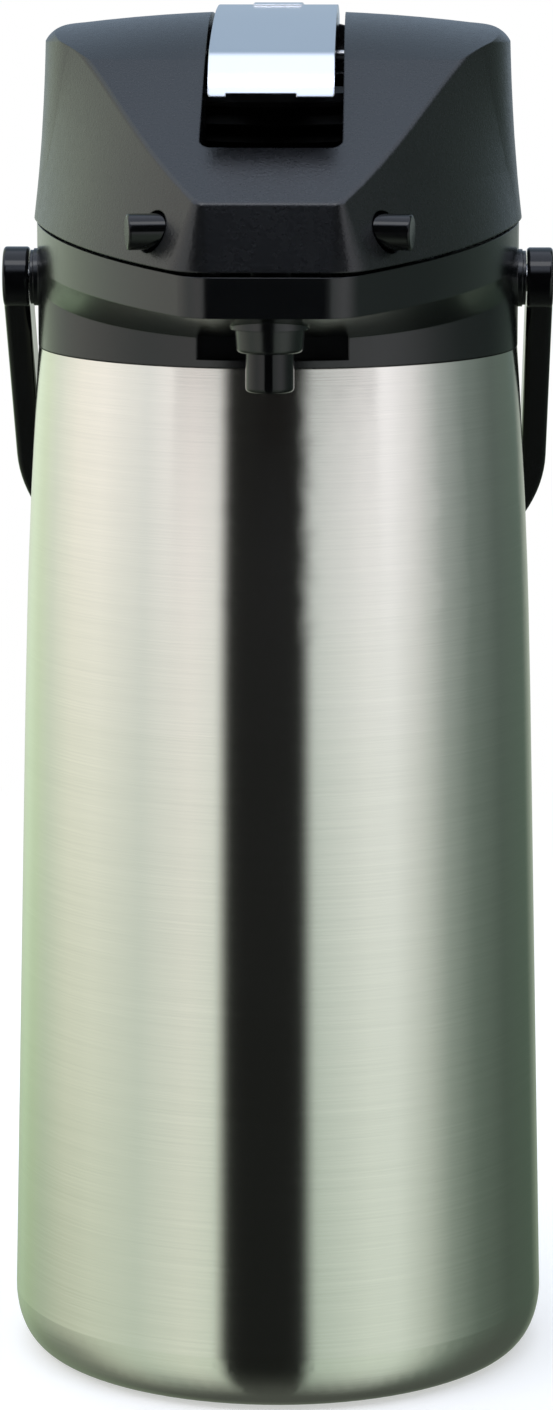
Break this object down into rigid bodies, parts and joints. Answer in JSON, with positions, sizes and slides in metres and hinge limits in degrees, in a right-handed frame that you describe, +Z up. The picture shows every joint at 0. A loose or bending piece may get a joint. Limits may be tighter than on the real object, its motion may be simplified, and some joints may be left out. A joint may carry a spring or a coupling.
{
  "type": "thermal coffee airpot",
  "caption": "Lever-action thermal airpot: brushed steel vacuum flask, black beaked collar and nozzle, hinged domed lid with chrome pump lever, release buttons and bail handle.",
  "frame": {"origin": "on the flask's axis, in the plane that the foot ring stands on", "axes": "+Z up along the flask, the spout faces -Y, +X to the right seen from the front"},
  "size_m": [0.1626, 0.2122, 0.4056],
  "materials": {
    "body_steel": "fine horizontal brushing",
    "bare_steel": "plain mill finish",
    "black_plastic": "satin moulded",
    "textured_black": "fine spark-eroded texture",
    "gloss_black": "polished moulding",
    "chrome_plate": "bright plate",
    "grey_plastic": "moulded",
    "black_rubber": "matt",
    "clear_silicone": "matt"
  },
  "bodies": {
    "root": {"outer_shell": "body_steel", "inner_liner": "bare_steel", "vacuum_base": "bare_steel", "base_cover": "black_plastic", "base_screws": "bare_steel", "foot_ring": "black_rubber", "shoulder": "black_plastic", "mounting_ring": "bare_steel", "shoulder_screws": "bare_steel", "neck_gasket": "clear_silicone", "neck_ring": "grey_plastic", "dip_tube": "bare_steel", "spout_pipe": "grey_plastic", "nozzle_collar": "black_plastic", "nozzle_tip": "gloss_black", "lid_hinge_pin": "bare_steel", "handle_studs": "bare_steel", "handle_washers": "black_plastic"},
    "lid": {"lid_cover": "textured_black", "lid_base": "black_plastic", "lid_gasket": "clear_silicone", "lid_screws": "bare_steel", "air_valve": "clear_silicone", "bellows": "black_rubber", "bellows_spring": "bare_steel", "lever_pin": "bare_steel", "latch_spring_right": "bare_steel", "latch_spring_left": "bare_steel"},
    "lever": {"lever_cover": "chrome_plate", "lever_core": "black_plastic"},
    "plunger": {"pressure_plate": "grey_plastic"},
    "right_button": {"button_right": "gloss_black", "latch_right": "grey_plastic"},
    "left_button": {"button_left": "gloss_black", "latch_left": "grey_plastic"},
    "bail": {"handle": "gloss_black"}
  },
  "joints": [
    {"name": "lid_hinge", "type": "hinge", "parent": "root", "child": "lid", "pos_m": [0, 0.077, 0.346], "axis": [-1, 0, 0], "range_deg": [0, 85]},
    {"name": "lever_hinge", "type": "hinge", "parent": "lid", "child": "lever", "pos_m": [0, 0.056, 0.3885], "axis": [1, 0, 0], "range_deg": [0, 12], "stiffness_Nm_per_rad": 2, "springref_deg": -11.46},
    {"name": "plunger_slide", "type": "slide", "parent": "lid", "child": "plunger", "axis": [0, 0, -1], "range_m": [0, 0.012], "deforming": ["bellows", "bellows_spring"]},
    {"name": "right_button_push", "type": "slide", "parent": "lid", "child": "right_button", "axis": [-0.9816, 0.1908, 0], "range_m": [0, 0.003], "stiffness_N_per_m": 350, "springref_m": -0.002, "deforming": ["latch_spring_right"]},
    {"name": "left_button_push", "type": "slide", "parent": "lid", "child": "left_button", "axis": [0.9816, 0.1908, 0], "range_m": [0, 0.003], "stiffness_N_per_m": 350, "springref_m": -0.002, "deforming": ["latch_spring_left"]},
    {"name": "handle_swing", "type": "hinge", "parent": "root", "child": "bail", "pos_m": [0, 0, 0.3253], "axis": [1, 0, 0], "range_deg": [0, 279]}
  ],
  "couplings": [
    {"joint": "plunger_slide", "follows": "lever_hinge", "m_per_rad": 0.0562}
  ]
}
